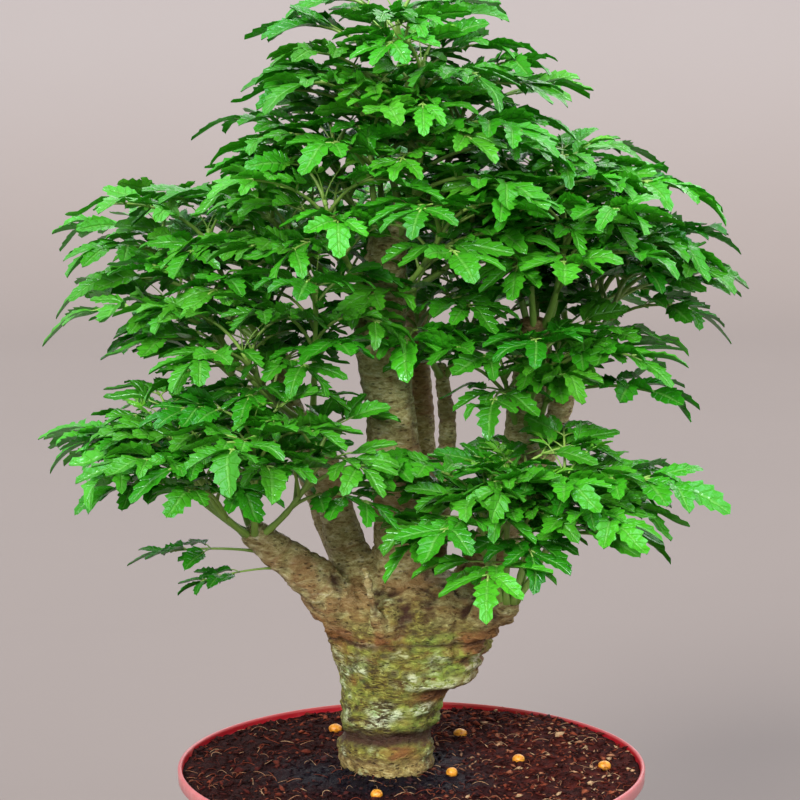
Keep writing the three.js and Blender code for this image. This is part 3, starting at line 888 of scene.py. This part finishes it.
def build_trunk():
    """The stump and its limbs: the CAD solid remeshed finely, softened, then carved with rings, cracks and scars."""
    source = bpy.data.objects.new("trunk_copy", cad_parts["trunk"].data.copy())
    bpy.context.scene.collection.objects.link(source)
    remesh = source.modifiers.new("Remesh", "REMESH")
    remesh.mode, remesh.voxel_size = "VOXEL", TRUNK_VOXEL * MM
    soften = source.modifiers.new("Soften", "SMOOTH")
    soften.factor, soften.iterations = 0.5, 14
    mesh = bpy.data.meshes.new_from_object(source.evaluated_get(bpy.context.evaluated_depsgraph_get()))
    bpy.data.objects.remove(source)
    mesh.name = "Trunk"
    count = len(mesh.vertices)
    points, normals = np.zeros(count * 3), np.zeros(count * 3)
    mesh.vertices.foreach_get("co", points)
    mesh.vertices.foreach_get("normal", normals)
    points, normals = points.reshape(-1, 3) / MM, normals.reshape(-1, 3)
    depth, values = carve(points, normals)
    mesh.vertices.foreach_set("co", ((points + normals * depth[:, None]) * MM).ravel())
    for name, value in values.items():
        layer = mesh.attributes.new(name, "FLOAT", "POINT")
        layer.data.foreach_set("value", value.astype(np.float32))
    mesh.polygons.foreach_set("use_smooth", np.ones(len(mesh.polygons), bool))
    mesh.materials.clear()
    mesh.update()
    finished("Trunk", mesh, [bark_material()], "trunk")


def carve(points, normals):
    """How far each point of the bark moves out, and the values that its colours follow."""
    x, y, z = points.T
    which, along, out = distance_to_limbs(points)
    limb = fade(z, 168, 182) * np.clip(2.2 - out, 0, 1)
    stump = 1 - limb
    lumps = fractal(points, 0.055, 3)
    wrinkles = fractal(points, 0.13, 4, (1, 1, 3.2), 1)
    crust = fractal(points, 0.42, 3, (1, 1, 1.7), 2)
    ridges = fractal(points, 0.16, 3, (1, 1, 0.3), 4)
    bend = 2.2 * fractal(points, 0.03, 2, salt=3)
    groove = np.zeros(len(points))
    for height, width, deep in STUMP_GROOVES:
        groove += deep * bell(z + bend * 0.5, height, width)
    side = fade(x, -4, 10)
    lip, under = bell(z, 152.5, 1.6), bell(z, 148, 1.9)
    step = ((z + 1.6 * bend) / 6.3) % 1
    shelves = side * fade(z, 155, 159) * fade(z, 182, 176) * (step - 0.5)
    knots = fade(z, 158, 166) * fade(z, 206, 181)
    scar_wave = np.abs(((along + bend * 1.4) / 8.5) % 1 - 0.5) * 2
    scar = np.clip((scar_wave - 0.84) / 0.16, 0, 1) * limb
    depth = stump * (1.2 * lumps + 0.85 * wrinkles + 0.4 * crust - groove + side * (1.6 * lip - 2.0 * under))
    depth += stump * shelves * 1.9 + knots * 2.0 * ridges
    depth += limb * (0.5 * lumps + 0.3 * wrinkles + 0.25 * crust - 0.5 * scar)
    # Painted shade: where the bark is sunk, in the grooves, the folds, under the ledge and between the knots, it is
    # coloured near black.
    fold = np.clip(-wrinkles - 0.40, 0, 1) * 1.4
    between = knots * fade(z, 170, 179) * np.clip(-ridges - 0.16, 0, 1) * 3.0
    crease_shade = np.clip((groove * 0.75 + fold + side * 0.8 * under) * stump + between, 0, 1)
    # Where each colour lies.
    cloud, haze = fractal(points, 0.10, 3, (1, 1, 1.5), 7), fractal(points, 0.07, 3, (1, 1, 1.8), 8)
    middle = bell(z, 141, 6) + bell(z, 161, 8)
    # Whitish patches: partly the bark's own pale tone, with the band round 141 mm and the ledge's lip as painted
    # highlights.
    pale = np.clip(middle * 0.9 + cloud * 1.6 - 0.42, 0, 1) + side * lip
    straw = fade(z, 128, 123) * 0.85
    moss = np.clip(0.25 + side * 0.7 + haze, 0, 1) * fade(z, 176, 168) * np.maximum(fade(z, 126, 131), 0.2)
    # Rust-brown: in loose patches and a band round 169 mm it is the bark's own colour; under the ledge and on faces
    # that point down it is painted shade.
    edge = np.clip((-normals[:, 2] - 0.15) * 2, 0, 1)
    rust_and_under_shade = side * bell(z, 147.5, 2.8) + edge * fade(z, 140, 150) + np.clip(haze * 1.5 - 0.25, 0, 1)
    rust_and_under_shade += bell(z, 169, 5) * np.clip(0.35 + cloud, 0, 1)
    spots = bell(z, 158, 8) * np.clip(0.55 + haze, 0, 1)
    stain = np.clip(fractal(points, 0.035, 3, salt=6) * 1.6 - 0.15, 0, 1) * limb
    red_limb = (which == list(LIMBS).index("left")) * limb * np.clip(0.3 + ridges, 0, 0.8)
    scar = scar * 0.6 + stain + red_limb + knots * np.clip(0.5 + 1.4 * wrinkles, 0, 0.9)
    values = {"stump": stump, "crease_shade": crease_shade, "scar": scar, "pale": pale}
    values.update({"straw": straw, "moss": moss, "rust_and_under_shade": rust_and_under_shade, "spots": spots})
    return depth, {name: np.clip(value, 0, 1) for name, value in values.items()}


# ---- Shoots ----
LEAFLET_ROWS = 10
MIDRIB_DEPTH = 0.42
# Each pair of pinnae: how far along the leaf, its angle to the midrib, its stalk, its end leaflet's length and
# width, and the length of the leaflets beside it.
PINNAE = (
    (0.38, 62, 8.5, 19, 7.8, 13.5),
    (0.57, 54, 3.5, 19, 7.5, 12),
    (0.73, 42, 1.2, 17, 6.6, 0),
)
YOUNG_PINNAE = ((0.62, 38, 1.5, 18, 6.0, 0),)
# The leaflet at the leaf's end: how far along it starts, its length and its width.
END_LEAFLET = (0.78, 19.5, 8.2)
# Leaves that hang from a limb itself, by shoot: the limb, how far along it, the azimuth, rise, droop and length.
HANGING_LEAVES = {
    32: ("left", 0.86, 184, 8, -10, 42),
    33: ("left", 0.7, 200, 2, -16, 34),
}


def leaflet_faces():
    """Faces of a leaflet: five points across the top of each row, and one under the midrib."""
    rows, top = LEAFLET_ROWS + 1, 5
    row = np.arange(LEAFLET_ROWS)[:, None]
    column = np.arange(top - 1)[None]
    a = row * top + column
    upper = np.stack([a, a + 1, a + top + 1, a + top], -1).reshape(-1, 4)
    under = rows * top + np.arange(rows)
    left, right = np.arange(rows) * top, np.arange(rows) * top + top - 1
    lower_left = np.stack([left[:-1], left[1:], under[1:], under[:-1]], 1)
    lower_right = np.stack([under[:-1], under[1:], right[1:], right[:-1]], 1)
    foot = [(under[0], k + 1, k) for k in range(top - 1)]
    last = LEAFLET_ROWS * top
    tip = [(under[-1], last + k, last + k + 1) for k in range(top - 1)]
    return np.concatenate([upper, lower_left, lower_right]), np.array(foot + tip)


LEAFLET_QUADS, LEAFLET_TRIANGLES = leaflet_faces()


def add_leaflets(body, starts, ways, ups, lengths, widths, tint, young):
    """Toothed leaflets, folded up along the midrib, quilted between their veins and drooping to the tip."""
    count = len(starts)
    starts, ways, ups = (np.array(v, float) for v in (starts, ways, ups))
    lengths, widths = np.array(lengths, float), np.array(widths, float)
    rolls = rng.normal(0, 0.28, count)
    sides = np.cross(ways, ups)
    sides /= np.linalg.norm(sides, axis=1)[:, None]
    ups = np.cross(sides, ways)
    rolled = sides * np.cos(rolls)[:, None] + ups * np.sin(rolls)[:, None]
    ups = ups * np.cos(rolls)[:, None] - sides * np.sin(rolls)[:, None]
    sides = rolled
    t = np.arange(LEAFLET_ROWS + 1) / LEAFLET_ROWS
    is_tooth = np.arange(LEAFLET_ROWS + 1) % 2 == 1
    outline = np.sin(np.pi * t**0.95) ** 0.62
    teeth = rng.uniform(0.09, 0.20, (count, 1)) * (1 + rng.normal(0, 0.25, (count, LEAFLET_ROWS + 1)))
    half = outline[None] * np.where(is_tooth, 1 + teeth, 1 - teeth * 0.9)
    half[:, 0], half[:, -1] = 0.10, 0.05
    half = half * widths[:, None] / 2
    shift = np.where(is_tooth, 0.45, -0.1)[None] / LEAFLET_ROWS * lengths[:, None]
    shift = shift * np.array([0] + [1] * (LEAFLET_ROWS - 1) + [0])
    columns = np.array([-1, -0.5, 0, 0.5, 1])
    across = half[:, :, None] * columns
    forward = t[None, :, None] * lengths[:, None, None] + shift[:, :, None] * np.abs(columns)
    fold = rng.uniform(0.08, 0.55, (count, 1, 1))
    quilt = np.where(is_tooth, 0.0, 0.075)[None, :, None] * widths[:, None, None] * (np.abs(columns) == 0.5)
    quilt = quilt * np.sin(np.pi * t)[None, :, None]
    height = fold * np.abs(across) + quilt
    top = np.stack([across, forward, height], -1).reshape(count, -1, 3)
    keel = np.full((count, LEAFLET_ROWS + 1), -MIDRIB_DEPTH)
    below = np.stack([np.zeros_like(keel), t * lengths[:, None], keel], -1)
    local = np.concatenate([top, below], 1)
    share = local[..., 1] / lengths[:, None]
    droop = rng.uniform(0.10, 0.42, (count, 1))
    wave = 0.035 * rng.normal(0, 1, (count, 1)) * np.sin(2 * np.pi * share)
    sink = (droop * share**2 + wave) * lengths[:, None]
    ahead = local[..., 1] * (1 - 0.25 * droop * share)
    points = starts[:, None] + sides[:, None] * local[..., :1] + ways[:, None] * ahead[..., None]
    points = points + ups[:, None] * (local[..., 2] - sink)[..., None]
    size = points.shape[1]
    offsets = (np.arange(count) * size)[:, None, None]
    quads, triangles = LEAFLET_QUADS[None] + offsets, LEAFLET_TRIANGLES[None] + offsets
    rows = LEAFLET_ROWS + 1
    u = np.concatenate([np.tile(columns, rows), np.zeros(rows)])
    v = np.concatenate([np.repeat(t, 5), t])
    margin = np.concatenate([np.tile(np.abs(columns) == 1, rows), np.zeros(rows)])
    margin[:5], margin[rows * 5 - 5 : rows * 5] = 1, 1
    tints = np.repeat(np.clip(tint + rng.normal(0, 0.1, count), 0, 1), size)
    values = {"across": np.tile(u, count), "along": np.tile(v, count), "margin": np.tile(margin, count)}
    body.add(points, quads, triangles, **values, tint=tints, young=young)


def add_stalk(body, centres, radii, sides, tint, young):
    """A green stem or leaf stalk."""
    points, quads, triangles = tube(centres, radii, sides)
    body.add(points, quads, triangles, finish=1, across=0.0, along=0.0, margin=0.0, tint=tint, young=young)


def add_leaf(body, plan, pinnae, tint, young):
    """A compound leaf: an arched stalk that carries pairs of pinnae and an end leaflet."""
    start, azimuth, rise, droop, length = plan
    bend = start + heading(azimuth, rise) * length * 0.46
    tip = bend + heading(azimuth, droop) * length * 0.56
    curve = Bezier(start, bend, tip)
    scale = length / LEAF_LENGTH
    side = heading(azimuth + 90, 0)
    shares = np.linspace(0, END_LEAFLET[0] + 0.03, 9)
    radii = scale * np.interp(shares, [0, 0.06, 0.4, 1], [1.15, 0.78, 0.6, 0.3])
    add_stalk(body, [curve.at(s) for s in shares], radii, 5, tint, young)
    starts, ways, ups, lengths, widths = [], [], [], [], []

    def leaflet(at, way, up, long, wide):
        starts.append(at)
        ways.append(unit(way))
        ups.append(up)
        lengths.append(long * scale * rng.uniform(0.85, 1.12))
        widths.append(wide * scale * rng.uniform(0.85, 1.15))

    for share, angle, stalk, long, wide, beside in pinnae:
        base, forward = curve.at(share), curve.along(share)
        up = np.cross(forward, side)
        for hand in (-1, 1):
            turn = math.radians(angle + rng.normal(0, 7))
            lift = rng.uniform(-0.05, 0.28)
            way = unit(forward * math.cos(turn) + side * hand * math.sin(turn) + up * lift)
            reach = stalk * scale * rng.uniform(0.8, 1.2)
            end = base + way * reach
            if stalk > 1:
                centres = [base, mix(base, end, 0.5) + up * 0.25, end + way * 1.2]
                add_stalk(body, centres, [0.42 * scale, 0.36 * scale, 0.28 * scale], 4, tint, young)
            leaflet(end, way, up, long, wide)
            flat = np.cross(up, way)
            if beside:
                slant = math.radians(46 + rng.normal(0, 8)) * -hand
                aside = way * math.cos(slant) + flat * math.sin(slant) + up * rng.uniform(-0.1, 0.2)
                leaflet(base + way * reach * 0.82, aside, up, beside, beside * 0.48)
    share, long, wide = END_LEAFLET
    leaflet(curve.at(share), curve.along(share), np.cross(curve.along(share), side), long, wide)
    add_leaflets(body, starts, ways, ups, lengths, widths, tint, young)


def build_shoots():
    """Every shoot, numbered in the order of the whorls."""
    finishes = [leaf_material(), stem_material()]
    k = 0
    for whorl in WHORLS:
        for i in range(whorl[2]):
            build_shoot(whorl, i, k, finishes)
            k += 1


def build_shoot(whorl, i, k, finishes):
    """A green shoot with its leaves, and a tuft of young ones at its tip."""
    curve, azimuth = shoot_curve(whorl, i, k)
    leaves = whorl[7]
    body = Body()
    shares = np.linspace(0, 1, 15)
    swell = 1 + 0.1 * np.cos(2 * np.pi * shares * leaves)
    radii = SHOOT_RADIUS * np.interp(shares, [0, 0.1, 1], [1.15, 0.88, 0.5]) * swell
    add_stalk(body, [curve.at(s) for s in shares], radii, 9, 0.5, 0.25)
    shoot_tint = rng.uniform(0.15, 0.85)
    for j in range(leaves):
        plan = leaf_plan(curve, azimuth, leaves, k, j)
        tint = np.clip(shoot_tint + rng.normal(0, 0.18), 0, 1)
        add_leaf(body, plan, PINNAE, tint, max(0, rng.normal(0.08, 0.1)))
    if k in HANGING_LEAVES:
        limb, share, turn, rise, droop, length = HANGING_LEAVES[k]
        start, radius = along_limb(LIMBS[limb], share)
        start = start + heading(turn, -40) * radius * 0.8
        add_leaf(body, (start, turn, rise, droop, length), PINNAE, 0.05, 0.0)
    for j in range(2):
        turn = azimuth + 180 * j + rng.uniform(-40, 40)
        plan = curve.at(1.0), turn, 68, 20, LEAF_LENGTH * rng.uniform(0.3, 0.42)
        add_leaf(body, plan, YOUNG_PINNAE, 0.9, rng.uniform(0.5, 0.85))
    name = f"shoot_{k + 1:02d}"
    body.piece(name.capitalize(), finishes, name, "leaf", sharp="margin")


stage_scene()
build_pot()
build_soil()
build_pellets()
build_trunk()
build_shoots()
